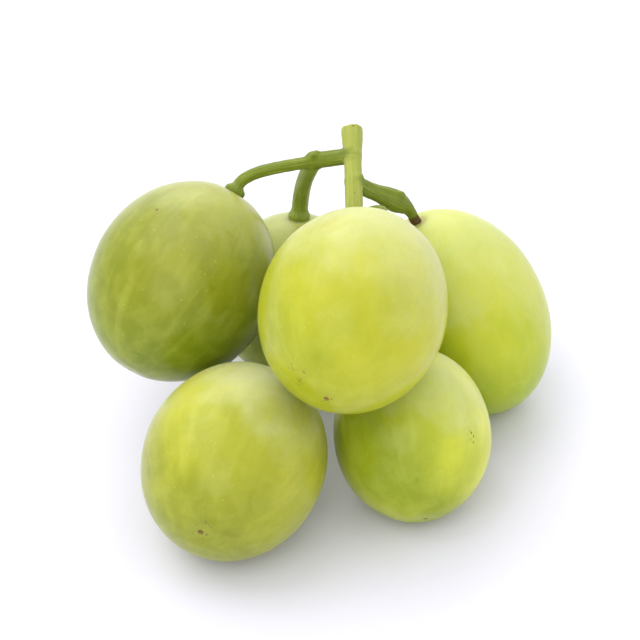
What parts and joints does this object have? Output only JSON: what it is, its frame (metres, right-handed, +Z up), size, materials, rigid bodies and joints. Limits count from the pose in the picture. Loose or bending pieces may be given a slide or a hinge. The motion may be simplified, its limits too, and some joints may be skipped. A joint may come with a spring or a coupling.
{
  "type": "bunch of grapes",
  "caption": "Small bunch of white seedless grapes lying down: oval yellow-green berries hung by short pedicels from one branching green stem with a cut stalk end.",
  "frame": {"origin": "on the floor, below the middle of the bunch's bounding box", "axes": "+Z up; +X to the right as the bunch is seen from the front; -Y is the front, where the top berry leans out over two others; the cut end of the stem points up and towards +Y"},
  "size_m": [0.0582, 0.0579, 0.043],
  "materials": {
    "skin_bright": "smooth bright yellow-green grape skin with a thin waxy bloom",
    "skin_green": "smooth green grape skin with a thin waxy bloom",
    "skin_olive": "smooth olive-green grape skin with a thin waxy bloom",
    "stem_green": "fresh green stem with light ridges and a few brown specks"
  },
  "bodies": {
    "root": {"stem": "stem_green", "berry_left": "skin_olive", "berry_back": "skin_olive", "berry_top": "skin_bright", "berry_right": "skin_bright", "berry_front_left": "skin_green", "berry_front_right": "skin_green"}
  },
  "joints": []
}
